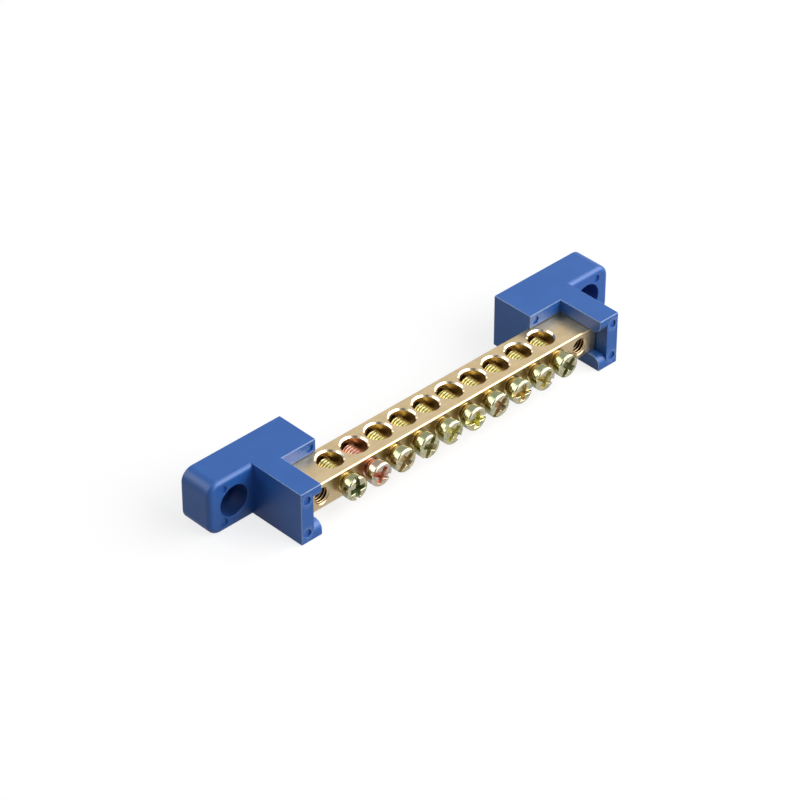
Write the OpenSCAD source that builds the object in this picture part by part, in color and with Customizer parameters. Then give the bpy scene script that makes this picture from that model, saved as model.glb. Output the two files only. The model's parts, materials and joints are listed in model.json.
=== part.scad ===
// Earth terminal bar: a brass bar, cross-drilled and tapped for a row of wires,
// carried at both ends by moulded insulating brackets that screw to a panel.
// X runs along the bar, the panel is at +Y, the screw heads face -Y, and the
// wires pass through the bar along Z. All sizes are in millimetres.

/* [Terminal bar] */
// Number of wire ways, each with its own clamping screw
way_count = 10; // [2:1:20]
// Distance from one way to the next
way_pitch = 6.5; // [6.3:0.1:12]
// Centre of each free end hole to the end of the bar
bar_end = 4.75; // [3:0.05:10]
// Depth of the bar, front to back
bar_d = 9; // [8:0.1:14]
// Height of the bar
bar_h = 6; // [5.2:0.1:10]
// Radius on the four long edges of the bar
bar_edge_r = 0.35; // [0.1:0.05:0.8]
// Diameter of each wire hole
wire_hole_dia = 5.3; // [3:0.1:5.5]
// Chamfer at both mouths of each wire hole
wire_hole_chamfer = 0.35; // [0.1:0.05:0.4]
// Back face of the bar to the centre of the wire holes
wire_hole_back = 4.2; // [3.2:0.1:5]
// Core diameter of the two free tapped holes at the ends
end_hole_dia = 3.3; // [2:0.1:4]
// How far the tapped holes run past the back wall of the wire holes
tap_past = 0.2; // [0.05:0.05:1]
// Countersink at the mouth of every tapped hole
tap_chamfer = 0.35; // [0.1:0.05:0.6]

/* [Clamping screws] */
// Thread diameter over the crests
screw_dia = 4; // [2.5:0.1:4.4]
// Gap all round between a screw and its hole
screw_clear = 0.05; // [0.02:0.01:0.1]
// Front face of the bar to the underside of each head
head_gap = 1.2; // [0.3:0.1:3]
// Tip of each screw to the back wall of its wire hole
tip_gap = 0.45; // [0.2:0.05:2]
// Chamfer on the tip
tip_chamfer = 0.5; // [0.1:0.05:0.8]
// Diameter of the heads
head_dia = 5.3; // [4.8:0.1:6.2]
// Height of the heads
head_h = 2.1; // [1.6:0.1:3]
// Radius on the front rim of the heads
head_rim_r = 0.45; // [0.1:0.05:0.7]
// Radius on the rear rim of the heads
head_back_r = 0.2; // [0.05:0.05:0.4]
// Width of the slot across each head
slot_w = 0.9; // [0.5:0.1:1.3]
// Depth of the slot
slot_d = 0.8; // [0.4:0.1:1.2]
// Length of the cross recess over two arms
cross_l = 3.4; // [2:0.1:4]
// Width of the arms of the cross recess
cross_w = 0.9; // [0.5:0.1:1.2]
// Depth of the cross recess at its middle
cross_d = 1.4; // [0.8:0.1:1.6]

/* [Brackets] */
// Panel face to the back face of the bar
seat_back = 9.7; // [8:0.1:20]
// Depth of the groove that takes the back of the bar
groove_d = 0.7; // [0.3:0.1:2]
// Thickness of the lips above and below the bar
lip_t = 3.1; // [2.2:0.1:6]
// How far the lips stand out in front of the bar
lip_front = 3; // [2:0.1:6]
// How far the lips reach over the bar from the end wall
lip_l = 2.2; // [1:0.1:5]
// Radius of the lead-in that lets the bar be pushed in between the lips
lip_lead_r = 1.9; // [0.5:0.1:2]
// Thickness of the end wall beyond the bar
end_wall = 3.15; // [2:0.05:6]
// Gap between the top lip and the bar
bar_clear_z = 0.1; // [0.02:0.01:0.3]
// Gap between each end of the bar and its end wall
bar_clear_x = 0.2; // [0.05:0.05:0.5]
// Length of the block behind the bar
block_l = 8.8; // [5:0.1:16]
// Length of the fixing ear
ear_l = 11.45; // [10:0.05:20]
// Thickness of the fixing ear
ear_d = 8.1; // [6:0.1:9]
// Radius of the two outer corners of the ear, seen from the front
ear_corner_r = 2.8; // [1.5:0.1:4]
// Radius along the front edges of the ear
ear_edge_r = 1.1; // [0.3:0.1:1.4]
// Outer face of the end wall to the centre of the fixing hole
fix_hole_x = 5.05; // [4.6:0.05:6.5]
// Diameter of the fixing hole
fix_hole_dia = 4.2; // [3:0.1:5]
// Diameter of the recess for the fixing screw's head
fix_head_dia = 7; // [6:0.1:8]
// Thickness of the ear left under the fixing screw's head
fix_floor = 3.1; // [2:0.1:5]
// Diameter of the ejector pin marks on the front faces
pin_mark_dia = 2; // [1:0.1:2.4]
// Depth of the ejector pin marks
pin_mark_d = 0.15; // [0.05:0.05:0.4]
// Outer end of the ear to the centres of its two pin marks
pin_mark_end = 3.7; // [2.5:0.1:4.5]

/* [Hidden] */
// Angles at which the screws came to rest, repeated along the row
DRIVE_ANGLES = [92, 150, 40, 62, 130, 174, 42, 172, 147, 47];
function screw_name(i) = str("clamping_screw_", i < 10 ? "0" : "", i);
$fn = 64;
// Overshoot of every cut
cut = 1;

// Along X, from the middle of the bar outwards
bar_l = (way_count + 1) * way_pitch + 2 * bar_end;
slot_end_x = bar_l / 2 + bar_clear_x;
ear_x = slot_end_x + end_wall;
stem_x = slot_end_x - lip_l;
block_x = stem_x - block_l;
outer_x = ear_x + ear_l;
fix_x = ear_x + fix_hole_x;

// Along Y, each measured forwards from the panel face
bar_front = seat_back + bar_d;
bracket_d = bar_front + lip_front;
block_d = seat_back + groove_d;
way_y = seat_back + wire_hole_back;
head_back = bar_front + head_gap;
head_front = head_back + head_h;
hole_back_y = way_y - wire_hole_dia / 2;
tip_y = hole_back_y + tip_gap;
tap_end_y = hole_back_y - tap_past;
panel_y = max(bracket_d, head_front) / 2;

// Along Z, from the surface that the brackets stand on
slot_h = bar_h + bar_clear_z;
bracket_h = slot_h + 2 * lip_t;
axis_z = lip_t + bar_h / 2;

// Pin marks as [distance along X, face they are on, distance from the nearest outer face along Z]
pin_marks = [
    [outer_x - pin_mark_end, ear_d, ear_edge_r + 0.55 * pin_mark_dia],
    [ear_x - end_wall / 2, bracket_d, ear_edge_r + 0.55 * pin_mark_dia],
    [block_x + 0.8 * pin_mark_dia, block_d, lip_t / 2]
];

// Ways 1 to way_count carry screws, and 0 and way_count + 1 are the free end holes
function way_x(i) = (i - (way_count + 1) / 2) * way_pitch;

// A rectangle with its corner at the origin and all four corners rounded
module rounded_rect(w, h, r) {
    translate([r, 0]) square([w - 2 * r, h]);
    translate([0, r]) square([w, h - 2 * r]);
    for (x = [r, w - r], y = [r, h - r]) translate([x, y]) circle(r);
}

// What a radius takes off a corner at the origin, with its material in the first quadrant
module corner_waste(r) {
    difference() {
        translate([-cut, -cut]) square(r + cut);
        translate([r, r]) circle(r);
    }
}

// Stands a YZ outline up and sweeps it along X; its first axis is the way forwards
module along_x(from, to) {
    translate([to, panel_y, 0]) rotate([90, 0, -90]) linear_extrude(to - from) children();
}

// Puts a shape on the plane a distance forwards of the panel, with its Z axis forwards
module facing(x, y, z) {
    translate([x, panel_y - y, z]) rotate([90, 0, 0]) children();
}

// Stands an XZ outline up and sweeps it forwards from the panel face
module forwards(to) {
    facing(0, 0, 0) linear_extrude(to) children();
}

// A round cut along Y with a countersink where it leaves the front face
module tapped_cut(x, dia, from, to) {
    facing(x, from, axis_z) cylinder(h = to - from + cut, d = dia);
    facing(x, to - tap_chamfer, axis_z)
        cylinder(h = tap_chamfer + cut, r1 = dia / 2, r2 = dia / 2 + tap_chamfer + cut);
}

// A hole for one wire, chamfered at both mouths
module wire_hole() {
    cylinder(h = bar_h + 2 * cut, d = wire_hole_dia, center = true);
    for (side = [0, 1]) mirror([0, 0, side])
        translate([0, 0, bar_h / 2 - wire_hole_chamfer])
            cylinder(h = wire_hole_chamfer + cut, r1 = wire_hole_dia / 2,
                     r2 = wire_hole_dia / 2 + wire_hole_chamfer + cut);
}

module brass_bar() {
    color([0.80, 0.70, 0.50]) difference() {
        along_x(-bar_l / 2, bar_l / 2)
            translate([seat_back, lip_t]) rounded_rect(bar_d, bar_h, bar_edge_r);
        for (i = [1 : way_count]) {
            translate([way_x(i), panel_y - way_y, axis_z]) wire_hole();
            tapped_cut(way_x(i), screw_dia + 2 * screw_clear, tap_end_y, bar_front);
        }
        for (i = [0, way_count + 1])
            tapped_cut(way_x(i), end_hole_dia, tap_end_y, bar_front);
    }
}

// Half outline of a screw, from the middle of its face back to its tip
module screw_outline() {
    r = head_dia / 2;
    end = head_front - tip_y;
    square([r - head_rim_r, head_h / 2]);
    translate([0, head_rim_r]) square([r, head_h - head_rim_r - head_back_r]);
    translate([0, head_h / 2]) square([r - head_back_r, head_h / 2]);
    translate([r - head_rim_r, head_rim_r]) circle(head_rim_r);
    translate([r - head_back_r, head_h - head_back_r]) circle(head_back_r);
    polygon([[0, head_h / 2], [screw_dia / 2, head_h / 2], [screw_dia / 2, end - tip_chamfer],
             [screw_dia / 2 - tip_chamfer, end], [0, end]]);
}

// Slot and cross recess, sunk backwards from the face at z = 0
module drive_recess() {
    translate([-head_dia, -slot_w / 2, -cut]) cube([2 * head_dia, slot_w, slot_d + cut]);
    for (turn = [0, 90]) rotate([90, 0, turn])
        translate([0, 0, -cross_w / 2]) linear_extrude(cross_w)
            polygon([[-cross_l / 2, -cut], [-cross_l / 2, 0], [-cross_w / 2, cross_d],
                     [cross_w / 2, cross_d], [cross_l / 2, 0], [cross_l / 2, -cut]]);
}

module clamping_screw(i) {
    angle = DRIVE_ANGLES[(i - 1) % len(DRIVE_ANGLES)];
    color([0.80, 0.80, 0.70]) facing(way_x(i), head_front, axis_z) mirror([0, 0, 1])
        difference() {
            rotate_extrude() screw_outline();
            rotate(angle) drive_recess();
        }
}

// The slot that holds the bar, open to the front and towards the middle of the bar
module bar_slot() {
    along_x(block_x - cut, slot_end_x) {
        translate([seat_back, lip_t]) square([bracket_d - seat_back + cut, slot_h]);
        translate([bracket_d, lip_t]) rotate(180) corner_waste(lip_lead_r);
        translate([bracket_d, lip_t + slot_h]) rotate(90) corner_waste(lip_lead_r);
    }
}

// The ear seen from the front, reaching back into the end wall
module ear_outline() {
    translate([stem_x, 0]) square([outer_x - ear_corner_r - stem_x, bracket_h]);
    translate([stem_x, ear_corner_r])
        square([outer_x - stem_x, bracket_h - 2 * ear_corner_r]);
    for (z = [ear_corner_r, bracket_h - ear_corner_r])
        translate([outer_x - ear_corner_r, z]) circle(ear_corner_r);
}

// What the rounding takes off the bottom front edge of the ear and off its lower outer corner
module ear_edge_waste() {
    corner_x = outer_x - ear_corner_r;
    along_x(stem_x - cut, corner_x)
        translate([ear_d, 0]) rotate(90) corner_waste(ear_edge_r);
    facing(corner_x, ear_d, ear_corner_r) rotate([0, 0, -90]) rotate_extrude(angle = 90)
        translate([ear_corner_r, 0]) rotate(180) corner_waste(ear_edge_r);
}

module ear() {
    difference() {
        forwards(ear_d) ear_outline();
        ear_edge_waste();
        translate([0, 0, bracket_h]) mirror([0, 0, 1]) ear_edge_waste();
        translate([outer_x, panel_y - ear_d, ear_corner_r])
            linear_extrude(bracket_h - 2 * ear_corner_r) rotate(90) corner_waste(ear_edge_r);
    }
}

module right_bracket() {
    color([0.22, 0.40, 0.68]) difference() {
        union() {
            forwards(block_d) translate([block_x, 0]) square([ear_x - block_x, bracket_h]);
            forwards(bracket_d) translate([stem_x, 0]) square([ear_x - stem_x, bracket_h]);
            ear();
        }
        bar_slot();
        facing(fix_x, -cut, bracket_h / 2) cylinder(h = ear_d + 2 * cut, d = fix_hole_dia);
        facing(fix_x, fix_floor, bracket_h / 2) cylinder(h = ear_d, d = fix_head_dia);
        for (mark = pin_marks, z = [mark[2], bracket_h - mark[2]])
            facing(mark[0], mark[1] - pin_mark_d, z)
                cylinder(h = pin_mark_d + cut, d = pin_mark_dia);
    }
}

module left_bracket() {
    mirror([1, 0, 0]) right_bracket();
}

brass_bar();
left_bracket();
right_bracket();
for (i = [1 : way_count])
    clamping_screw(i);
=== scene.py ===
# %% [markdown]
# # An earth terminal bar, dressed in Blender
#
# A brass bar is cross-drilled for ten wires and carried by two blue moulded
# brackets. Ten screws come in from the front and clamp the wires. The
# construction model gives every place and size, and this lesson gives each
# piece the shape and finish that the eye expects.

import json
import math
from contextlib import contextmanager

import bmesh
import bpy
from mathutils import Matrix, Vector


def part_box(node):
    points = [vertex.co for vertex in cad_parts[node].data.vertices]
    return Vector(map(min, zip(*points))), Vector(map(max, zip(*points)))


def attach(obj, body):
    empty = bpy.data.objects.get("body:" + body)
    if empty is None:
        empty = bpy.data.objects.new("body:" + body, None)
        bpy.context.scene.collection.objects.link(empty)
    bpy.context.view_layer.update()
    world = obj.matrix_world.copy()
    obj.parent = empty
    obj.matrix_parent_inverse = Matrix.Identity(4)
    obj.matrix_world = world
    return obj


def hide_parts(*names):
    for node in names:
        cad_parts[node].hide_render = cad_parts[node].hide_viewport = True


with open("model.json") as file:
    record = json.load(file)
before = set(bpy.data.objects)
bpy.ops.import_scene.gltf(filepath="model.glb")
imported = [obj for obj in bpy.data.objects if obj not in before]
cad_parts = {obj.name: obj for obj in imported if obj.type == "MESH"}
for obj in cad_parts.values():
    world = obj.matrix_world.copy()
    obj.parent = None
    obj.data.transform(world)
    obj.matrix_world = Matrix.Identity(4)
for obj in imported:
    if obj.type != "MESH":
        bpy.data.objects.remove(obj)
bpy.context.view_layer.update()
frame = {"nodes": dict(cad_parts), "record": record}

# %% [markdown]
# ## Sizes
#
# Everything is in metres, with X along the bar, the panel at the back (+Y) and
# the screw heads at the front (-Y). What the construction model can tell is
# read from it: the box round each node, and the radius and place of each hole
# that it lists as a mount. Only what lies inside a node is written here again.

# %% Read the boxes and the mounts
MM = 0.001
mounts = {mount["name"]: mount for mount in frame["record"]["mounts"]}
BAR_LOW, BAR_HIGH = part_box("brass_bar")
BRACKET_LOW, BRACKET_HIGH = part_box("right_bracket")
SCREW_NODES = sorted(name for name in frame["nodes"] if name.startswith("clamping_screw"))
SCREW_LOW, SCREW_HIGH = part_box(SCREW_NODES[0])
WAY_X = [sum(corner.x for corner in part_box(name)) / 2 for name in SCREW_NODES]
WAY_PITCH = WAY_X[1] - WAY_X[0]
AXIS_Z = (BAR_LOW.z + BAR_HIGH.z) / 2


def mount_place(name):
    return Vector(mounts[name]["pos_m"])


def mount_size(name, key):
    return mounts[name]["dims"][key] * MM


print("bar:", [round(size / MM, 2) for size in BAR_HIGH - BAR_LOW], "ways:", len(WAY_X))

# %% [markdown]
# ## Working by hand, in code
#
# Blender's operators act on whatever is selected. So each step makes one object
# the only one selected, goes into edit mode, picks faces or edges by where they
# are, and calls the operator that a hand would call.

# %% Helpers that select, edit and cut


def only(piece):
    """Makes one object the only one selected."""
    bpy.ops.object.select_all(action="DESELECT")
    piece.select_set(True)
    bpy.context.view_layer.objects.active = piece


@contextmanager
def editing(piece):
    only(piece)
    bpy.ops.object.mode_set(mode="EDIT")
    yield
    bpy.ops.object.mode_set(mode="OBJECT")


def pick(kind, test):
    """Selects the faces or edges of the mesh in edit mode that pass a test."""
    bpy.ops.mesh.select_mode(type=kind)
    bpy.ops.mesh.select_all(action="DESELECT")
    mesh = bpy.context.edit_object.data
    work = bmesh.from_edit_mesh(mesh)
    for part in work.faces if kind == "FACE" else work.edges:
        part.select_set(bool(test(part)))
    bmesh.update_edit_mesh(mesh)


def middle(part):
    points = [vert.co for vert in part.verts]
    return sum(points, Vector()) / len(points)


def along(edge, axis):
    """True for an edge that runs along one axis."""
    step = edge.verts[1].co - edge.verts[0].co
    return abs(step[axis]) > 0.999 * step.length


def near(a, b, slack=1e-6):
    return abs(a - b) < slack


def name_piece(name):
    """Names the new object, and puts its place and size into its mesh."""
    piece = bpy.context.object
    piece.name = piece.data.name = name
    only(piece)
    bpy.ops.object.transform_apply(location=True, rotation=True, scale=True)
    return piece


def add_block(name, low, high):
    low, high = Vector(low), Vector(high)
    bpy.ops.mesh.primitive_cube_add(size=1, location=(low + high) / 2, scale=high - low)
    return name_piece(name)


def add_rod(name, centre, radius, length, axis="Y", sides=64):
    """A cylinder along X, Y or Z."""
    turn = {"X": (0, math.pi / 2, 0), "Y": (-math.pi / 2, 0, 0), "Z": (0, 0, 0)}[axis]
    bpy.ops.mesh.primitive_cylinder_add(vertices=sides, radius=radius, depth=length,
                                        location=centre, rotation=turn)
    return name_piece(name)


def copy_of(piece, name, shift=(0, 0, 0)):
    """A copy with a mesh of its own, moved inside that mesh."""
    copy = piece.copy()
    copy.data = piece.data.copy()
    bpy.context.collection.objects.link(copy)
    copy.name = copy.data.name = name
    copy.location = shift
    only(copy)
    bpy.ops.object.transform_apply(location=True, rotation=True, scale=True)
    return copy


def join(pieces):
    only(pieces[0])
    for piece in pieces[1:]:
        piece.select_set(True)
    bpy.ops.object.join()
    return pieces[0]


def combine(piece, tools, operation="DIFFERENCE"):
    """Cuts, joins or trims a piece with tools, which are used up."""
    for tool in tools:
        boolean = piece.modifiers.new(operation.lower(), "BOOLEAN")
        boolean.operation, boolean.solver, boolean.object = operation, "EXACT", tool
        only(piece)
        bpy.ops.object.modifier_apply(modifier=boolean.name)
        bpy.data.objects.remove(tool)
    return piece


def extrude(step):
    bpy.ops.mesh.extrude_region_move(TRANSFORM_OT_translate={"value": step})


def bevel(size, segments, material=-1):
    bpy.ops.mesh.bevel(offset=size, segments=segments, affect="EDGES", material=material)


def report(piece):
    mesh = piece.data
    mesh.calc_loop_triangles()
    spread = [max(v.co[i] for v in mesh.vertices) - min(v.co[i] for v in mesh.vertices)
              for i in range(3)]
    print(piece.name, len(mesh.loop_triangles), "triangles",
          [round(size / MM, 2) for size in spread])


def shift_along(index, distance):
    step = Vector()
    step[index] = distance
    return Matrix.Translation(step)


CUT = 1 * MM  # how far every cutter reaches past what it cuts
WELD = 0.0001 * MM  # points closer than this are one point

# %% [markdown]
# ## The right bracket
#
# On the real part this is one moulding: a fixing ear, a block behind the bar,
# and a stem that comes forwards and holds the bar's end in a C-shaped mouth.
# Extruding all of it from one slab would do, but the ear is round where the
# block is sharp, and a bevel runs out badly where the two meet. So the ear is
# rounded by itself while it is a plain slab, the block and the stem are
# extruded by themselves, and one boolean makes them a single skin.

# %% Name the bracket's inner sizes
END_WALL = 3.15 * MM
LIP_REACH = 2.2 * MM
LIP_LEAD = 1.9 * MM
BAR_END_GAP = 0.2 * MM
BAR_TOP_GAP = 0.1 * MM
GROOVE = 0.7 * MM
EAR_THICK = (mount_size("right_fixing_hole", "length_mm")
             + mount_size("right_head_recess", "length_mm"))
EAR_CORNER = 2.8 * MM
EAR_EDGE = 1.1 * MM

SLOT_END = BAR_HIGH.x + BAR_END_GAP
EAR_X = SLOT_END + END_WALL
STEM_X = SLOT_END - LIP_REACH
FRONT_Y, PANEL_Y = BRACKET_LOW.y, BRACKET_HIGH.y
EAR_Y = PANEL_Y - EAR_THICK
BLOCK_Y = BAR_HIGH.y - GROOVE
SLOT_TOP = BAR_HIGH.z + BAR_TOP_GAP
print("stem from", round(STEM_X / MM, 2), "to", round(EAR_X / MM, 2))

# %% Extrude the block and the stem
bracket = add_block("right_moulding", (BRACKET_LOW.x, BLOCK_Y, BRACKET_LOW.z),
                    (EAR_X, PANEL_Y, BRACKET_HIGH.z))
with editing(bracket):
    bpy.ops.mesh.select_all(action="SELECT")
    bpy.ops.mesh.bisect(plane_co=(STEM_X, 0, 0), plane_no=(1, 0, 0), threshold=WELD)
    pick("FACE", lambda face: face.normal.y < -0.9 and middle(face).x > STEM_X)
    extrude((0, FRONT_Y - BLOCK_Y, 0))
report(bracket)

# %% [markdown]
# The ear's two outer corners are round, and a smaller radius runs round its
# front edge. The big radius goes first, so that the small one can follow it.
# The slab starts well inside the block, so that its square end is hidden.

# %% Round the ear and unite it with the block
ear = add_block("ear", (STEM_X, EAR_Y, BRACKET_LOW.z), BRACKET_HIGH)
with editing(ear):
    pick("EDGE", lambda edge: along(edge, 1) and near(middle(edge).x, BRACKET_HIGH.x))
    bevel(EAR_CORNER, 14)
    pick("EDGE", lambda edge: all(near(vert.co.y, EAR_Y) for vert in edge.verts)
         and middle(edge).x > STEM_X + WELD)
    bevel(EAR_EDGE, 8)
combine(bracket, [ear], "UNION")
report(bracket)

# %% [markdown]
# The mouth for the bar is a straight slot with a flared entry. A bevel on the
# lips would run wrong where they meet the end wall, so the flare belongs to the
# cutter. The front of the slot's block is extruded up and down, and two rods
# take from it the round backs of the lips.

# %% Cut the slot, its flared mouth and the fixing hole
slot = add_block("slot_tool", (BRACKET_LOW.x - CUT, FRONT_Y - CUT, BAR_LOW.z),
                 (SLOT_END, BAR_HIGH.y, SLOT_TOP))
flare_back = FRONT_Y + LIP_LEAD
with editing(slot):
    for place, way in (((STEM_X - CUT, 0, 0), (1, 0, 0)), ((0, flare_back, 0), (0, 1, 0))):
        bpy.ops.mesh.select_all(action="SELECT")
        bpy.ops.mesh.bisect(plane_co=place, plane_no=way, threshold=WELD)
    for side in (-1, 1):
        pick("FACE", lambda face: face.normal.z * side > 0.9 and middle(face).y < flare_back
             and middle(face).x > STEM_X - CUT)
        extrude((0, 0, side * LIP_LEAD))
combine(slot, [add_rod("lip_rod", (STEM_X, flare_back, z), LIP_LEAD, 20 * MM, axis="X")
               for z in (BAR_LOW.z - LIP_LEAD, SLOT_TOP + LIP_LEAD)])

fixing = mount_place("right_fixing_hole")
shank_hole = add_rod("shank_tool", (fixing.x, (PANEL_Y + EAR_Y) / 2, fixing.z),
                     mount_size("right_fixing_hole", "r_mm"), EAR_THICK + 2 * CUT)
recess_floor = PANEL_Y - mount_size("right_fixing_hole", "length_mm")
head_hole = add_rod("recess_tool", (fixing.x, (recess_floor + EAR_Y - CUT) / 2, fixing.z),
                    mount_size("right_head_recess", "r_mm"), recess_floor - EAR_Y + CUT)
combine(bracket, [slot, shank_hole, head_hole])
report(bracket)

# %% [markdown]
# A mould's edges are never quite sharp, and a thin bright line runs along each
# outer edge of the real part. A small bevel on every convex edge catches that
# light. Its faces get the number 1, so that the plastic can be paler there,
# partly as wear and partly as a painted highlight.

# %% Break the outer edges
ARRIS = 0.16 * MM


def sharp_edge(edge, degrees=40):
    return (len(edge.link_faces) == 2 and edge.is_convex
            and edge.calc_face_angle() > math.radians(degrees))


def mark_arris(piece):
    """Keeps which faces came from the edge bevel as a number on each face."""
    on_edge = [float(face.material_index) for face in piece.data.polygons]
    piece.data.attributes.new("arris", "FLOAT", "FACE").data.foreach_set("value", on_edge)
    piece.data.polygons.foreach_set("material_index", [0] * len(on_edge))
    piece.data.materials.clear()


def soften(piece, test, size):
    """Bevels the picked edges, and numbers the new faces 1."""
    while len(piece.data.materials) < 2:
        piece.data.materials.append(None)
    with editing(piece):
        bpy.ops.mesh.select_all(action="SELECT")
        bpy.ops.mesh.remove_doubles(threshold=WELD)
        bpy.ops.mesh.dissolve_limited(angle_limit=math.radians(0.5))
        pick("EDGE", test)
        bevel(size, 2, material=1)
        bpy.ops.mesh.select_all(action="SELECT")
        bpy.ops.mesh.remove_doubles(threshold=0.004 * MM)


def inside_mouth(edge):
    """The end wall's front edge, which runs out into the flare and stays sharp."""
    return near(middle(edge).x, SLOT_END) and near(middle(edge).y, FRONT_Y)


soften(bracket, lambda edge: sharp_edge(edge) and not inside_mouth(edge), ARRIS)
report(bracket)

# %% [markdown]
# Ejector pins push the moulding out of its mould and leave round marks on its
# front faces. Each is a shallow dent with a worn rim, so the disc that cuts it
# is wider at its mouth.

# %% Press in the ejector marks
MARK_RADIUS = 0.9 * MM
MARK_DEPTH = 0.3 * MM
MARK_RIM = 0.12 * MM
MARK_FLARE = 1 + 2 * MARK_RIM / MARK_RADIUS
MARK_EAR_END = 3.7 * MM
MARK_IN = EAR_EDGE + 1.1 * MM
mark_spots = [(x, y, z if low else BRACKET_HIGH.z - z) for x, y, z in (
    (BRACKET_HIGH.x - MARK_EAR_END, EAR_Y, MARK_IN),
    (EAR_X - END_WALL / 2, FRONT_Y, MARK_IN),
    (BRACKET_LOW.x + 1.6 * MM, BLOCK_Y, BAR_LOW.z / 2)) for low in (True, False)]
mark_tools = []
for x, y, z in mark_spots:
    tool = add_rod("mark_tool", (x, y + MARK_DEPTH / 2, z), MARK_RADIUS, MARK_DEPTH, sides=40)
    for _ in range(2):
        tool.data.materials.append(None)
    with editing(tool):
        pick("FACE", lambda face: face.normal.y < -0.9)
        extrude((0, -MARK_RIM, 0))
        bpy.ops.transform.resize(value=(MARK_FLARE, 1, MARK_FLARE))
    tool.data.transform(shift_along(1, MARK_RIM / 2))
    for face in tool.data.polygons:
        face.material_index = int(0.1 <= abs(face.normal.y) <= 0.9)
    mark_tools.append(tool)
combine(bracket, [join(mark_tools)])
mark_arris(bracket)
report(bracket)

# %% [markdown]
# ## The left bracket
#
# The left bracket is the same moulding the other way round. It is a copy,
# mirrored across the middle of the bar. A mirrored mesh is inside out, so its
# normals are worked out again.

# %% Mirror the bracket
right_moulding = bracket
left_moulding = copy_of(bracket, "left_moulding")
only(left_moulding)
left_moulding.scale = (-1, 1, 1)
bpy.ops.object.transform_apply(location=True, rotation=True, scale=True)
with editing(left_moulding):
    bpy.ops.mesh.select_all(action="SELECT")
    bpy.ops.mesh.remove_doubles(threshold=WELD)
    bpy.ops.mesh.normals_make_consistent(inside=False)
report(left_moulding)

# %% [markdown]
# ## The thread
#
# A thread is a ridge that climbs as it goes round. One tooth of it is drawn as
# a line, and the Screw modifier sweeps that line round and along the axis. Both
# ends come out ragged, so they are cut square and closed. The same tool makes
# the screws' shanks and taps the two free holes of the bar.

# %% Draw one tooth and sweep it
THREAD_PITCH = 0.7 * MM
THREAD_STEPS = 48


def draw_line(name, start, steps):
    """A line drawn by extruding one point."""
    bpy.ops.mesh.primitive_plane_add(size=MM, location=start)
    line = name_piece(name)
    with editing(line):
        bpy.ops.mesh.select_mode(type="VERT")
        bpy.ops.mesh.select_all(action="SELECT")
        bpy.ops.mesh.merge(type="CENTER")
        for step in steps:
            extrude(step)
    return line


def threaded_rod(name, root, crest, front_y, back_y):
    """A closed rod along Y through the origin, with a thread from root to crest."""
    depth = crest - root
    flat = THREAD_PITCH / 8
    flank = (THREAD_PITCH - 3 * flat) / 2
    tooth = [(0, 2 * flat, 0), (depth, flank, 0), (0, flat, 0), (-depth, flank, 0)]
    rod = draw_line(name, (root, front_y - 2 * THREAD_PITCH, 0), tooth)
    sweep = rod.modifiers.new("sweep", "SCREW")
    sweep.axis, sweep.angle, sweep.screw_offset = "Y", 2 * math.pi, THREAD_PITCH
    sweep.iterations = math.ceil((back_y - front_y) / THREAD_PITCH) + 4
    sweep.steps = sweep.render_steps = THREAD_STEPS
    sweep.use_merge_vertices, sweep.merge_threshold = True, WELD
    only(rod)
    bpy.ops.object.modifier_apply(modifier=sweep.name)
    with editing(rod):
        bpy.ops.mesh.select_all(action="SELECT")
        bpy.ops.mesh.remove_doubles(threshold=WELD)
        for plane_y, side in ((front_y, -1), (back_y, 1)):
            bpy.ops.mesh.select_all(action="SELECT")
            bpy.ops.mesh.bisect(plane_co=(0, plane_y, 0), plane_no=(0, side, 0),
                                use_fill=True, clear_outer=True, threshold=WELD)
        bpy.ops.mesh.select_all(action="SELECT")
        bpy.ops.mesh.normals_make_consistent(inside=False)
    return rod


# %% [markdown]
# ## The bar
#
# The real bar is drawn brass, cut to length, drilled across for the wires,
# drilled and tapped from the front for the screws, and countersunk at every
# mouth. It is made here in the same order, with one drill shape copied along
# the row and all copies cut in one go.

# %% Round the stock and drill it
BAR_EDGE = 0.35 * MM
WIRE_CHAMFER = 0.35 * MM
TAP_CHAMFER = 0.35 * MM
SCREW_CLEAR = 0.05 * MM
CREST = 2 * MM
TAPPED_END = mount_place("right_end_hole").y + mount_size("right_end_hole", "length_mm") / 2
wire = mount_place("wire_hole_01")
WIRE_RADIUS = mount_size("wire_hole_01", "r_mm")
OVER = 0.15 * MM  # the countersinks of neighbouring drills mustn't meet

bar = add_block("drilled_bar", BAR_LOW, BAR_HIGH)
with editing(bar):
    pick("EDGE", lambda edge: along(edge, 0))
    bevel(BAR_EDGE, 6)


def countersunk_drill(name, centre, radius, length, chamfer, axis, mouths):
    """A drill that widens at 45 degrees where it leaves the stock."""
    drill = add_rod(name, centre, radius, length - len(mouths) * chamfer, axis=axis, sides=96)
    index = "XYZ".index(axis)
    if len(mouths) == 1:
        drill.data.transform(shift_along(index, -mouths[0] * chamfer / 2))
    grow = (radius + chamfer + OVER) / radius
    for mouth in mouths:
        with editing(drill):
            pick("FACE", lambda face: face.normal[index] * mouth > 0.9)
            step = Vector()
            step[index] = mouth * (chamfer + OVER)
            extrude(step)
            spread = Vector((grow, grow, grow))
            spread[index] = 1
            bpy.ops.transform.resize(value=spread)
    return drill


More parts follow.
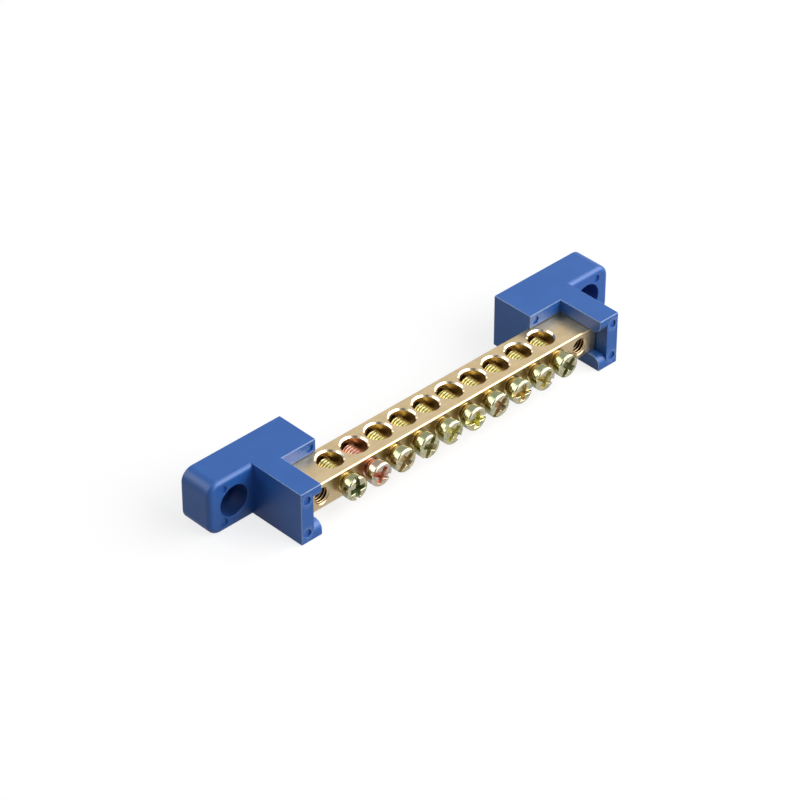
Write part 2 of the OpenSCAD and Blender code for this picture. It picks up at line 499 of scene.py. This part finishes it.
wire_drill = countersunk_drill("wire_drill", (WAY_X[0], wire.y, AXIS_Z), WIRE_RADIUS,
                               BAR_HIGH.z - BAR_LOW.z, WIRE_CHAMFER, "Z", (1, -1))
screw_hole_depth = TAPPED_END - BAR_LOW.y
screw_drill = countersunk_drill("screw_drill", (WAY_X[0], (BAR_LOW.y + TAPPED_END) / 2, AXIS_Z),
                                CREST + SCREW_CLEAR, screw_hole_depth, TAP_CHAMFER, "Y", (-1,))
for drill in (wire_drill, screw_drill):
    copies = [copy_of(drill, "drill", (x - WAY_X[0], 0, 0)) for x in WAY_X[1:]]
    combine(bar, [join([drill] + copies)])
report(bar)

# %% [markdown]
# The two free holes show their threads. A tap is the threaded rod with a
# countersink at its mouth, a little larger than the drilled core.

# %% Tap the free holes
CORE = mount_size("right_end_hole", "r_mm")
SINK_IN = 0.1 * MM  # the sink's straight part keeps clear of the tapped wall
for side in ("left", "right"):
    place = mount_place(side + "_end_hole")
    tap = threaded_rod("tap", CORE, CREST, BAR_LOW.y - CUT, TAPPED_END)
    tap.data.transform(shift_along(0, place.x))
    tap.data.transform(shift_along(2, place.z))
    sink = countersunk_drill("sink", (place.x, BAR_LOW.y + MM / 2, place.z),
                             CORE - SINK_IN, MM, TAP_CHAMFER + SINK_IN, "Y", (-1,))
    combine(bar, [tap, sink])
soften(bar, lambda edge: sharp_edge(edge, 60)
       and all(near(abs(vert.co.x), BAR_HIGH.x) for vert in edge.verts), 0.08 * MM)
mark_arris(bar)
report(bar)

# %% [markdown]
# ## The clamping screws
#
# Each screw is a zinc-plated machine screw with a round head, a slot across it
# and a cross pressed into its middle, so that either driver fits. The head is a
# cylinder with rounded rims, and the drive is cut by a tool shaped like the
# punch that makes it. One screw is modelled, and nine are copied from it.

# %% Shape the head
HEAD_RADIUS = (SCREW_HIGH.x - SCREW_LOW.x) / 2
HEAD_HEIGHT = 2.1 * MM
HEAD_FRONT = SCREW_LOW.y
HEAD_BACK = HEAD_FRONT + HEAD_HEIGHT
TIP_Y = SCREW_HIGH.y
SLOT_WIDTH = 0.9 * MM
SLOT_DEPTH = 0.8 * MM
CROSS_LENGTH = 3.8 * MM
CROSS_WIDTH = 1.3 * MM
CROSS_DEPTH = 1.4 * MM
CROSS_TAPER = 0.6
CONE_RADIUS = 1.0 * MM
DRIVE_EDGE = 0.06 * MM

head = add_rod("screw_head", (0, (HEAD_FRONT + HEAD_BACK) / 2, 0), HEAD_RADIUS, HEAD_HEIGHT, sides=96)
with editing(head):
    pick("EDGE", lambda edge: all(near(vert.co.y, HEAD_FRONT) for vert in edge.verts))
    bevel(0.45 * MM, 6)
    pick("EDGE", lambda edge: all(near(vert.co.y, HEAD_BACK) for vert in edge.verts))
    bevel(0.2 * MM, 3)
report(head)

# %% [markdown]
# The punch for the cross starts as a short bar as wide as its arms. Its four
# sides are extruded into arms, and its far end is drawn together to a point. A
# cone with eight sides opens the corners between the arms.

# %% Punch the drive
punch = add_block("cross_tool", (-CROSS_WIDTH / 2, HEAD_FRONT - CUT, -CROSS_WIDTH / 2),
                  (CROSS_WIDTH / 2, HEAD_FRONT + CROSS_DEPTH, CROSS_WIDTH / 2))
reach = (CROSS_LENGTH - CROSS_WIDTH) / 2


def is_far_end(face):
    return face.normal.y > 0.9


with editing(punch):
    bpy.ops.mesh.select_all(action="SELECT")
    bpy.ops.mesh.bisect(plane_co=(0, HEAD_FRONT, 0), plane_no=(0, 1, 0), threshold=WELD)
    for axis, side in ((0, 1), (0, -1), (2, 1), (2, -1)):
        pick("FACE", lambda face: face.normal[axis] * side > 0.9
             and near(middle(face)[axis], side * CROSS_WIDTH / 2)
             and near(middle(face)[2 - axis], 0))
        step = Vector()
        step[axis] = side * reach
        extrude(step)
    pick("FACE", is_far_end)
    bpy.ops.transform.resize(value=(CROSS_TAPER, 1, CROSS_TAPER))
slope = (CONE_RADIUS - 0.3 * MM) / CROSS_DEPTH
cone_mouth = CONE_RADIUS + slope * CUT
cone = add_rod("cone_tool", (0, HEAD_FRONT + (CROSS_DEPTH - CUT) / 2, 0), cone_mouth,
               CROSS_DEPTH + CUT, sides=8)
with editing(cone):
    pick("FACE", is_far_end)
    bpy.ops.transform.resize(value=(0.3 * MM / cone_mouth, 1, 0.3 * MM / cone_mouth))
slot_tool = add_block("slot_tool", (-2 * HEAD_RADIUS, HEAD_FRONT - CUT, -SLOT_WIDTH / 2),
                      (2 * HEAD_RADIUS, HEAD_FRONT + SLOT_DEPTH, SLOT_WIDTH / 2))
with editing(slot_tool):
    pick("EDGE", lambda edge: along(edge, 0) and near(middle(edge).y, HEAD_FRONT + SLOT_DEPTH))
    bevel(0.15 * MM, 3)
combine(head, [punch, cone, slot_tool])
with editing(head):
    bpy.ops.mesh.select_all(action="SELECT")
    bpy.ops.mesh.dissolve_limited(angle_limit=math.radians(0.5))
    pick("EDGE", lambda edge: sharp_edge(edge, 40)
         and all(near(vert.co.y, HEAD_FRONT) for vert in edge.verts))
    bevel(DRIVE_EDGE, 2)
report(head)

# %% [markdown]
# The shank is the same threaded rod as the tap, trimmed by a plain rod whose
# far end has the screw's chamfered point.

# %% Add the threaded shank
ROOT = 1.57 * MM
TIP_CHAMFER = 0.5 * MM
shank = threaded_rod("shank", ROOT, CREST, HEAD_BACK - 0.3 * MM, TIP_Y)
envelope = add_rod("envelope", (0, (HEAD_BACK - MM + TIP_Y) / 2, 0), CREST + 0.01 * MM,
                   TIP_Y - HEAD_BACK + MM, sides=96)
with editing(envelope):
    pick("EDGE", lambda edge: all(near(vert.co.y, TIP_Y) for vert in edge.verts))
    bevel(TIP_CHAMFER, 1)
combine(shank, [envelope], "INTERSECT")
screw = combine(head, [shank], "UNION")
report(screw)

# %% [markdown]
# A screw stops where it grips, so hardly any two slots point the same way. Each
# copy is turned by its own angle and moved to its way. It also gets a number
# from 0 to 1, which says what tint the plating has in its drive.

# %% Set the ten screws
DRIVE_ANGLES = (92, 150, 40, 62, 130, 174, 42, 172, 147, 47)
FILMS = (0.0, 0.5, 0.85, 0.25, 0.5, 0.4, 0.95, 0.75, 0.65, 0.12)
screws = []
for number, (way_x, angle) in enumerate(zip(WAY_X, DRIVE_ANGLES), 1):
    placed = copy_of(screw, "threaded_screw_%02d" % number)
    placed.rotation_euler = (0, -math.radians(angle), 0)
    placed.location = (way_x, 0, AXIS_Z)
    only(placed)
    bpy.ops.object.transform_apply(location=True, rotation=True, scale=True)
    film = placed.data.attributes.new("film", "FLOAT", "POINT").data
    film.foreach_set("value", [FILMS[number - 1]] * len(film))
    screws.append(placed)
bpy.data.objects.remove(screw)
report(screws[0])

# %% [markdown]
# ## Shading the forms
#
# Flat faces should look flat and rounded ones round. Smoothing by angle keeps
# the sharp edges, and weighted normals let each large face rule the narrow
# bevels beside it.

# %% Smooth the pieces
smoothing = [(right_moulding, 50), (left_moulding, 50), (bar, 32)]
smoothing += [(placed, 40) for placed in screws]
for piece, degrees in smoothing:
    only(piece)
    bpy.ops.object.shade_smooth_by_angle(angle=math.radians(degrees))
    weights = piece.modifiers.new("weights", "WEIGHTED_NORMAL")
    weights.keep_sharp = True
    bpy.ops.object.modifier_apply(modifier=weights.name)

# %% [markdown]
# ## Shader arithmetic
#
# A material here is a small sum. Signal wraps the socket of a node, so that an
# ordinary Python expression adds the Math nodes that it needs, and `add` makes
# any other node from its type, its settings and what its sockets get.

# %% A small language for materials


class Signal:
    """A number in a node tree, which takes part in Python arithmetic."""

    def __init__(self, tree, socket):
        self.tree, self.socket = tree, socket

    def math(self, operation, *others, clamp=False):
        node = self.tree.nodes.new("ShaderNodeMath")
        node.operation, node.use_clamp = operation, clamp
        for slot_in, value in zip(node.inputs, (self, *others)):
            plug(self.tree, slot_in, value)
        return Signal(self.tree, node.outputs[0])

    def reflected(self, operation, other):
        node = self.tree.nodes.new("ShaderNodeMath")
        node.operation = operation
        plug(self.tree, node.inputs[0], other)
        plug(self.tree, node.inputs[1], self)
        return Signal(self.tree, node.outputs[0])

    def __add__(self, other):
        return self.math("ADD", other)

    def __sub__(self, other):
        return self.math("SUBTRACT", other)

    def __mul__(self, other):
        return self.math("MULTIPLY", other)

    def __truediv__(self, other):
        return self.math("DIVIDE", other)

    def __radd__(self, other):
        return self.reflected("ADD", other)

    def __rsub__(self, other):
        return self.reflected("SUBTRACT", other)

    def __rmul__(self, other):
        return self.reflected("MULTIPLY", other)

    def between(self, low, high):
        """0 below low, 1 above high, and smooth in between."""
        share = (self - low) / (high - low)
        share = share.math("ADD", 0, clamp=True)
        return share * share * (3 - 2 * share)


def plug(tree, socket, value):
    """Links a signal or a socket to a socket, or writes a plain value on it."""
    if isinstance(value, Signal):
        value = value.socket
    if isinstance(value, bpy.types.NodeSocket):
        tree.links.new(value, socket)
    else:
        socket.default_value = value


def add(tree, kind, settings=None, output=0, **sockets):
    """Makes a node. Sockets are named with underscores for spaces, or in_0, in_1 by number."""
    node = tree.nodes.new("ShaderNode" + kind)
    settings = dict(settings or {})
    stops = settings.pop("stops", None)
    for key, value in settings.items():
        setattr(node, key, value)
    if stops:
        ramp = node.color_ramp
        while len(ramp.elements) < len(stops):
            ramp.elements.new(0.5)
        for element, (position, colour) in zip(ramp.elements, stops):
            element.position, element.color = position, (*colour, 1)
    for key, value in sockets.items():
        name = key.replace("_", " ")
        spot = node.inputs[int(key[3:])] if key.startswith("in_") else node.inputs[name]
        if isinstance(value, tuple) and len(value) == 3 and spot.type == "RGBA":
            value = (*value, 1)
        plug(tree, spot, value)
    return Signal(tree, node.outputs[output])


def blend_colours(tree, share, first, second):
    """first where share is 0, second where it is 1."""
    return add(tree, "Mix", {"data_type": "RGBA"}, output=2, in_0=share, in_6=first, in_7=second)


def new_material(name):
    """An empty material with an output, and its tree."""
    material = bpy.data.materials.new(name)
    material.use_nodes = True
    material.node_tree.nodes.clear()
    return material, material.node_tree


def finish_material(tree, **sockets):
    """The main shader and the output."""
    shader = add(tree, "BsdfPrincipled", None, 0, **sockets)
    output = tree.nodes.new("ShaderNodeOutputMaterial")
    tree.links.new(shader.socket, output.inputs["Surface"])


def millimetres(tree, stretch=(1, 1, 1)):
    """The piece's own coordinates in millimetres, stretched for a grain."""
    place = tree.nodes.new("ShaderNodeTexCoord").outputs["Object"]
    return add(tree, "Mapping", {"vector_type": "POINT"}, Vector=place,
               Scale=tuple(share / MM for share in stretch))


def noise(tree, place, scale, detail=3, roughness=0.5):
    return add(tree, "TexNoise", None, 0, Vector=place, Scale=scale, Detail=detail, Roughness=roughness)


def axes(tree, place):
    node = tree.nodes.new("ShaderNodeSeparateXYZ")
    plug(tree, node.inputs[0], place)
    return [Signal(tree, out) for out in node.outputs]


print("shader language ready")

# %% [markdown]
# ## Blue moulded plastic
#
# The brackets are a royal blue moulding with a satin skin. A flat blue would
# look like paper, so the colour drifts slowly, a very fine bump breaks up the
# highlights, and the broken edges are paler, more in some places than others.
# That paleness is partly wear and partly a painted highlight.
# The pin that forms the screw recess leaves a rougher skin, so it is duller in
# there. Its wall is also darkened in colour, which is painted shade, and its
# mouth has no worn edge. The ejector pins have torn the skin round the marks on
# the stems, which left it pale in spots.

# %% Blue plastic


RECESS_RADIUS = mount_size("right_head_recess", "r_mm") / MM


def blue_plastic():
    material, tree = new_material("moulded_blue")
    place = millimetres(tree)
    drift = noise(tree, place, 0.22, 3)
    grain = noise(tree, place, 5.5, 3)
    scuff_and_sheen = noise(tree, place, 1.7, 4, 0.65).between(0.5, 0.68)
    x, y, z = axes(tree, place)
    from_pin = x.math("ABSOLUTE") - fixing.x / MM
    up = z - fixing.z / MM
    from_axis = (from_pin * from_pin + up * up).math("SQRT")
    recess = 1 - from_axis.between(RECESS_RADIUS + 0.20, RECESS_RADIUS + 0.24)
    edge = (1 - recess) * add(tree, "Attribute", {"attribute_name": "arris"}, output=2)
    # the recess wall: rougher, and darkened in colour as painted shade
    inside = recess * y.between(EAR_Y / MM + 0.1, EAR_Y / MM + 0.4)
    inside = inside * (1 - y.between(PANEL_Y / MM - 0.4, PANEL_Y / MM - 0.1))
    body = blend_colours(tree, drift.between(0.25, 0.75),
                         (0.020, 0.121, 0.455), (0.024, 0.134, 0.487))
    # painted shade: the recess wall is darkened towards a near-black blue
    body = blend_colours(tree, inside * 0.6, body, (0.008, 0.030, 0.130))
    middle_z = (BRACKET_LOW.z + BRACKET_HIGH.z) / 2 / MM
    mark_x = x.math("ABSOLUTE") - (EAR_X - END_WALL / 2) / MM
    mark_z = (z - middle_z).math("ABSOLUTE") - (middle_z - MARK_IN / MM)
    from_mark = (mark_x * mark_x + mark_z * mark_z).math("SQRT")
    torn = from_mark.between(0.75, 0.95) * (1 - from_mark.between(1.3, 2.0))
    torn = torn * (1 - y.between(FRONT_Y / MM + 0.1, FRONT_Y / MM + 0.3))
    torn = torn * noise(tree, place, 3.0, 4, 0.7).between(0.48, 0.58)
    # paler bevelled edges: partly wear, partly a painted highlight
    wear_and_edge_sheen = blend_colours(tree, edge * (0.50 + 0.45 * scuff_and_sheen), body, (0.42, 0.56, 0.82))
    wear_and_edge_sheen = blend_colours(tree, torn * 0.6, wear_and_edge_sheen, (0.28, 0.40, 0.68))
    bump = add(tree, "Bump", None, 0, Strength=0.22, Distance=0.02 * MM, Height=grain)
    finish_material(tree, Base_Color=wear_and_edge_sheen, Normal=bump, IOR=1.58,
                    Roughness=0.34 + 0.08 * drift + 0.06 * grain + 0.2 * inside)
    return material


# %% [markdown]
# ## Satin brass
#
# The bar is drawn through a die, which leaves faint lines along it, and the
# drills leave fine rings in the holes. So the grain is a noise stretched along
# X on the outside, and one stretched round the bore inside each hole. A mask
# from the distance to the nearest way tells the two apart. Countersunk mouths
# and the broken edges at the bar's ends are paler, a painted highlight, and the
# wire bores, the thread valleys and the depth of the tapped holes are darker,
# which is painted shade.

# %% Brass


def brass():
    material, tree = new_material("drawn_brass")
    place = millimetres(tree)
    x, y, z = axes(tree, place)
    cell = ((x - WAY_X[0] / MM) / (WAY_PITCH / MM) + 0.5).math("FRACT") - 0.5
    across = cell * (WAY_PITCH / MM)
    deep = y - wire.y / MM
    radius = (across * across + deep * deep).math("SQRT")
    in_row = 1 - x.math("ABSOLUTE").between(WAY_X[-1] / MM + 3.2, WAY_X[-1] / MM + 3.25)
    bore = (1 - radius.between(WIRE_RADIUS / MM + 0.02, WIRE_RADIUS / MM + 0.05)) * in_row
    mouth = (1 - radius.between(WIRE_RADIUS / MM + 0.37, WIRE_RADIUS / MM + 0.41)) * in_row - bore
    end_x = x.math("ABSOLUTE") - mount_place("right_end_hole").x / MM
    tapped = (end_x * end_x + (z - AXIS_Z / MM) * (z - AXIS_Z / MM)).math("SQRT")
    behind = y - BAR_LOW.y / MM
    in_tap = 1 - tapped.between(CREST / MM, CREST / MM + 0.02)
    valley = tapped.between(CORE / MM + 0.02, CORE / MM + 0.10) * in_tap
    valley = valley * behind.between(0.36, 0.38)
    deep = in_tap * behind.between(1.0, 2.6)
    edge = add(tree, "Attribute", {"attribute_name": "arris"}, output=2)
    grain = noise(tree, millimetres(tree, (0.06, 5, 5)), 1.0, 4, 0.6)
    streak = noise(tree, millimetres(tree, (0.02, 0.9, 0.9)), 1.0, 3)
    rings = noise(tree, millimetres(tree, (0.3, 0.3, 7)), 1.0, 2)
    cloud = noise(tree, place, 0.35, 4, 0.6)
    specks = noise(tree, place, 3.2, 2).between(0.70, 0.76)
    metal = blend_colours(tree, cloud.between(0.3, 0.7), (0.70, 0.53, 0.29), (0.78, 0.60, 0.35))
    metal = blend_colours(tree, streak.between(0.35, 0.75) * 0.5, metal, (0.82, 0.66, 0.42))
    metal = blend_colours(tree, specks * 0.35, metal, (0.16, 0.10, 0.05))
    # painted shade: the walls inside the wire bores are darkened
    metal = blend_colours(tree, bore * 0.9, metal, (0.40, 0.25, 0.11))
    # painted highlight: countersunk mouths and end edges lightened towards near-white
    metal = blend_colours(tree, (edge + mouth) * 0.8, metal, (0.92, 0.80, 0.62))
    # painted shade: the valleys between the tapped threads are darkened
    metal = blend_colours(tree, valley * 0.95, metal, (0.13, 0.055, 0.025))
    # painted shade: the tapped holes darken with depth
    metal = blend_colours(tree, deep * 0.85, metal, (0.11, 0.05, 0.025))
    height = (1 - bore) * grain + bore * rings
    bump = add(tree, "Bump", None, 0, Strength=0.25, Distance=0.02 * MM, Height=height)
    finish_material(tree, Base_Color=metal, Metallic=1.0,
                    Roughness=0.23 + 0.10 * grain - 0.12 * mouth + 0.06 * cloud, Normal=bump)
    return material


# %% [markdown]
# ## Passivated zinc
#
# Yellow passivation is a film thinner than a light wave. It turns from silver
# to yellow, green and rose as it gets thicker, and it is thickest in the
# drive, where the bath drains last. A slow noise tints the head, and the
# screw's own number picks the tint in its drive. The thread is pale on its
# crests, a painted highlight, and dark between them, painted shade. The head's
# side, back from its front rim, is darkened as a painted dark reflection, and
# the neck between head and bar is painted brown as a reflection of the brass
# and its shade. A coarse bump makes the punched drive uneven.

# %% Plated screws


def plated(name, films, dark_side_reflection, drive, crest, groove, neck_reflection_and_shade):
    material, tree = new_material(name)
    place = millimetres(tree)
    x, y, z = axes(tree, place)
    cell = ((x - WAY_X[0] / MM) / (WAY_PITCH / MM) + 0.5).math("FRACT") - 0.5
    along_row = cell * (WAY_PITCH / MM)
    up = z - AXIS_Z / MM
    radius = (along_row * along_row + up * up).math("SQRT")
    depth = y - HEAD_FRONT / MM
    bloom = noise(tree, place, 0.9, 4, 0.6)
    fine = noise(tree, place, 7, 3, 0.6)
    lumps = noise(tree, place, 2.4, 2, 0.5)
    colour = add(tree, "ValToRGB", {"stops": films}, Fac=bloom.between(0.28, 0.72))
    chosen = add(tree, "Attribute", {"attribute_name": "film"}, output=2)
    floor = add(tree, "ValToRGB", {"stops": drive},
                Fac=chosen + 0.3 * (bloom - 0.5) + 0.5 * (lumps - 0.5))
    in_drive = depth.between(0.03, 0.12) * (1 - depth.between(1.5, 1.6))
    in_drive = in_drive * (1 - radius.between(2.1, 2.4))
    colour = blend_colours(tree, in_drive * 0.9, colour, floor)
    specks = noise(tree, place, 3.2, 3, 0.6).between(0.52, 0.62)
    colour = blend_colours(tree, specks * 0.55 * (1 - radius.between(1.8, 2.2)), colour, groove)
    # painted dark reflection: the head's side, back from its front rim, is darkened
    side = depth.between(0.35, 0.60) * radius.between(2.45, 2.55)
    colour = blend_colours(tree, side * 0.85, colour, dark_side_reflection)
    shank = depth.between(HEAD_HEIGHT / MM - 0.05, HEAD_HEIGHT / MM + 0.05)
    # painted highlight on the thread crests, painted shade in the grooves
    on_crest = radius.between(ROOT / MM + 0.02, CREST / MM - 0.18)
    thread = blend_colours(tree, on_crest, groove, crest)
    # painted reflection and shade: the neck in front of the bar takes a brown brass reflection
    neck = 1 - y.between(BAR_LOW.y / MM - 0.1, BAR_LOW.y / MM + 0.1)
    thread = blend_colours(tree, neck * 0.85, thread, neck_reflection_and_shade)
    colour = blend_colours(tree, shank * 0.95, colour, thread)
    pressed = add(tree, "Bump", None, 0, Strength=0.8, Distance=0.12 * MM,
                  Height=(0.4 + 0.6 * in_drive) * lumps)
    bump = add(tree, "Bump", None, 0, Strength=0.2, Distance=0.02 * MM,
               Height=fine + 0.8 * bloom, Normal=pressed)
    finish_material(tree, Base_Color=colour, Metallic=1.0, Normal=bump,
                    Roughness=0.10 + 0.10 * fine + 0.12 * shank + 0.14 * in_drive)
    return material


YELLOW_FILMS = [(0.0, (0.40, 0.42, 0.26)), (0.3, (0.53, 0.53, 0.33)), (0.5, (0.70, 0.68, 0.49)),
                (0.7, (0.74, 0.66, 0.42)), (1.0, (0.58, 0.50, 0.33))]
YELLOW_DRIVE = [(0.0, (0.21, 0.27, 0.15)), (0.25, (0.42, 0.40, 0.21)), (0.5, (0.76, 0.72, 0.27)),
                (0.75, (0.60, 0.48, 0.25)), (1.0, (0.56, 0.40, 0.26))]
ROSE_FILMS = [(0.0, (0.46, 0.38, 0.28)), (0.4, (0.78, 0.70, 0.58)), (0.7, (0.74, 0.55, 0.44)),
              (1.0, (0.58, 0.40, 0.30))]
ROSE_DRIVE = [(0.0, (0.60, 0.28, 0.18)), (1.0, (0.70, 0.42, 0.30))]

plastic = blue_plastic()
bar_metal = brass()
# After the films come the painted dark reflection of the head's side, the drive tints, the thread's
# painted pale crest, the groove colour for painted shade and dark specks, and the painted neck
# reflection.
yellow_zinc = plated("yellow_passivated_zinc", YELLOW_FILMS, (0.34, 0.37, 0.20), YELLOW_DRIVE,
                     (0.88, 0.84, 0.44), (0.24, 0.17, 0.06), (0.44, 0.31, 0.12))
pink_zinc = plated("rose_passivated_zinc", ROSE_FILMS, (0.44, 0.36, 0.26), ROSE_DRIVE,
                   (0.88, 0.58, 0.48), (0.30, 0.12, 0.08), (0.52, 0.27, 0.16))
print([material.name for material in bpy.data.materials])

# %% [markdown]
# ## What rides on what
#
# The bar and both brackets are one body. Each screw is a body of its own, so
# its dressed copy rides on that body and stands for the plain screw.

# %% Hand the pieces to their bodies


def dress(piece, body, node, material):
    piece.data.materials.clear()
    piece.data.materials.append(material)
    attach(piece, body)
    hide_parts(node)


dress(right_moulding, "bar_assembly", "right_bracket", plastic)
dress(left_moulding, "bar_assembly", "left_bracket", plastic)
dress(bar, "bar_assembly", "brass_bar", bar_metal)
for number, (piece, node) in enumerate(zip(screws, SCREW_NODES), 1):
    rose = number == 2
    dress(piece, "screw_%02d" % number, node, pink_zinc if rose else yellow_zinc)
print("dressed", len(screws) + 3, "pieces")

# %% [markdown]
# ## The studio
#
# A plain pale table, a large soft lamp in front on the right, a weaker one
# behind on the left, and a soft room. Metal shows what is round it, so the room
# that gloss sees is brighter than the room that lights the part. It glows
# round both lamps, which widens their highlights, and it is dark where the
# camera stands.

# %% Camera
CAMERA_AZIMUTH, CAMERA_ELEVATION = math.radians(-43.7035), math.radians(36.5465)
CAMERA_DISTANCE = 0.693064
CAMERA_LENS = 156.09
CAMERA_AIM = Vector((-3.783, 3.983, 6.559)) * MM


def direction(azimuth, elevation):
    """From the object towards the sky, with azimuth 0 at the front."""
    return Vector((math.sin(azimuth) * math.cos(elevation),
                   -math.cos(azimuth) * math.cos(elevation), math.sin(elevation)))


camera_way = direction(CAMERA_AZIMUTH, CAMERA_ELEVATION)
camera = bpy.data.objects.new("camera", bpy.data.cameras.new("camera"))
bpy.context.collection.objects.link(camera)
camera.location = CAMERA_AIM + camera_way * CAMERA_DISTANCE
camera.rotation_euler = (-camera_way).to_track_quat("-Z", "Y").to_euler()
camera.data.lens, camera.data.sensor_width = CAMERA_LENS, 36
camera.data.clip_start, camera.data.clip_end = 0.01, 20
bpy.context.scene.camera = camera
print("camera", [round(c / MM, 1) for c in camera.location])

# %% Lamps
LAMP_DISTANCE = 1.3


def soft_lamp(name, azimuth, elevation, width, height, brightness):
    """A lamp that faces the object, as bright all over as the number says."""
    lamp = bpy.data.objects.new(name, bpy.data.lights.new(name, "AREA"))
    bpy.context.collection.objects.link(lamp)
    way = direction(math.radians(azimuth), math.radians(elevation))
    lamp.location = way * LAMP_DISTANCE
    lamp.rotation_euler = (-way).to_track_quat("-Z", "Y").to_euler()
    lamp.data.shape, lamp.data.size, lamp.data.size_y = "RECTANGLE", width, height
    lamp.data.energy = brightness * math.pi * width * height


KEY_WAY = (43, 38)  # azimuth and elevation in degrees
LEFT_WAY = (-134, 34)
soft_lamp("key_lamp", *KEY_WAY, 1.7, 1.0, 3.9)
soft_lamp("left_lamp", *LEFT_WAY, 1.0, 0.6, 1.4)

# %% Room and table
ROOM = 0.15
ROOM_IN_GLOSS = 0.68
TABLE_LIFT = 0.79
TABLE_IN_GLOSS = 0.42


def by_ray(tree, soft, gloss, direct):
    """One brightness for soft light, one for what gloss and glass show, one for the camera."""
    path = tree.nodes.new("ShaderNodeLightPath")
    camera_ray, glossy, through = (Signal(tree, path.outputs[name]) for name in
                                   ("Is Camera Ray", "Is Glossy Ray", "Is Transmission Ray"))
    mirrored = glossy.math("MAXIMUM", through)
    return soft + mirrored * (gloss - soft) + camera_ray * (direct - soft), camera_ray


world = bpy.data.worlds.new("studio")
bpy.context.scene.world = world
world.use_nodes = True
sky = world.node_tree
sky.nodes.clear()
towards = sky.nodes.new("ShaderNodeTexCoord").outputs["Generated"]


def facing(way):
    """How nearly a direction of the room agrees with a given one."""
    return add(sky, "VectorMath", {"operation": "DOT_PRODUCT"}, output=1, in_0=towards, in_1=way)


key_glow = facing(direction(*map(math.radians, KEY_WAY))).between(0.38, 0.64)
left_glow = facing(direction(*map(math.radians, LEFT_WAY))).between(0.86, 0.93)
gloss_light = ROOM_IN_GLOSS + 1.4 * key_glow + 1.4 * left_glow
room_light, camera_ray = by_ray(sky, ROOM, gloss_light, 1)
dark_place = facing(camera_way).between(0.87, 0.94) * (1 - camera_ray)
background = add(sky, "Background", None, 0, Color=(1.0, 1.0, 1.0),
                 Strength=room_light * (1 - 0.92 * dark_place))
sky_output = sky.nodes.new("ShaderNodeOutputWorld")
sky.links.new(background.socket, sky_output.inputs["Surface"])

bpy.ops.mesh.primitive_plane_add(size=8)
table = bpy.context.object
table.name = "table"
table_material, tree = new_material("table")
lift, camera_ray = by_ray(tree, 0, TABLE_IN_GLOSS, TABLE_LIFT)
matt = add(tree, "BsdfDiffuse", None, 0, Color=(0.30, 0.30, 0.30))
glow = add(tree, "Emission", None, 0, Color=(1.0, 1.0, 1.0), Strength=lift)
both = add(tree, "AddShader", None, 0, in_0=matt, in_1=glow)
table_output = tree.nodes.new("ShaderNodeOutputMaterial")
tree.links.new(both.socket, table_output.inputs["Surface"])
table.data.materials.append(table_material)
bpy.context.scene.view_settings.view_transform = "Standard"
